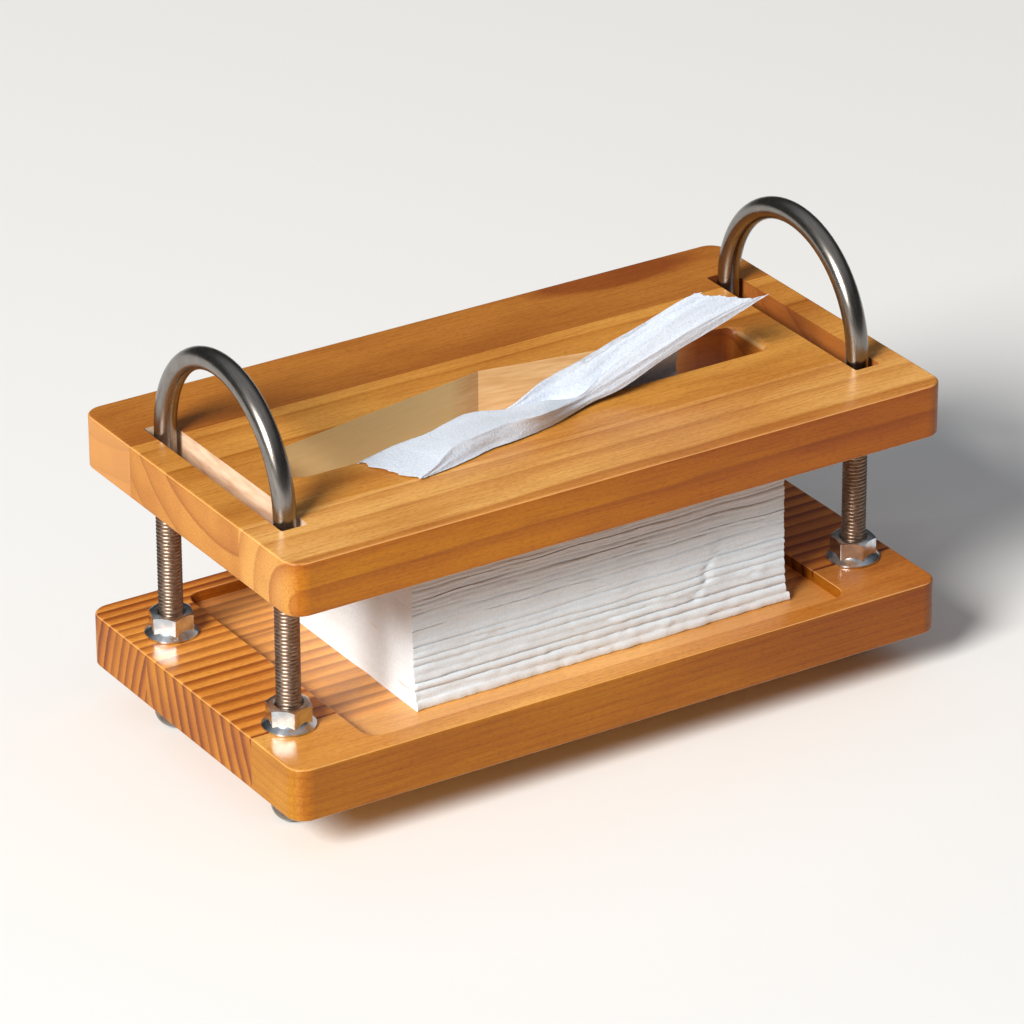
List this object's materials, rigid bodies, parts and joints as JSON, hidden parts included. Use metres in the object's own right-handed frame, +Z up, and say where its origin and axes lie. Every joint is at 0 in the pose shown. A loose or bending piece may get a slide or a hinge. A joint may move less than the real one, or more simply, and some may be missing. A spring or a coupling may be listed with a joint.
{
  "type": "weighted tissue holder",
  "caption": "Loose wooden board slides on steel U-bolts and presses a tissue pack into a recessed wooden base; tissues are drawn through its peaked opening.",
  "frame": {"origin": "middle of the boards in plan, on the plane that the dome nuts stand on", "axes": "+X along the long side to the right, +Y to the back, +Z up"},
  "size_m": [0.24, 0.13, 0.1439],
  "materials": {
    "base_pine": "striped softwood under satin varnish",
    "top_pine": "flat-sawn softwood under satin varnish",
    "stainless": "satin stainless rod with rolled threads",
    "zinc_plated": "bright zinc plated",
    "nickel_plated": "nickel plated",
    "tissue_paper": "folded white tissue paper",
    "drawn_tissue_paper": "crumpled white tissue paper"
  },
  "bodies": {
    "base": {"base_board": "base_pine", "u_bolt_left": "stainless", "u_bolt_right": "stainless", "tissue_pack": "tissue_paper", "flange_nut_left_front": "zinc_plated", "flange_nut_left_back": "zinc_plated", "flange_nut_right_front": "zinc_plated", "flange_nut_right_back": "zinc_plated", "dome_nut_left_front": "nickel_plated", "dome_nut_left_back": "nickel_plated", "dome_nut_right_front": "nickel_plated", "dome_nut_right_back": "nickel_plated"},
    "board": {"top_board": "top_pine"},
    "tissue": {"drawn_tissue": "drawn_tissue_paper"}
  },
  "joints": [
    {"name": "board_lift", "type": "slide", "parent": "base", "child": "board", "axis": [0, 0, 1], "range_m": [0, 0.062]},
    {"name": "tissue_pull", "type": "slide", "parent": "board", "child": "tissue", "axis": [0, 0, 1], "range_m": [0, 0.09]}
  ]
}
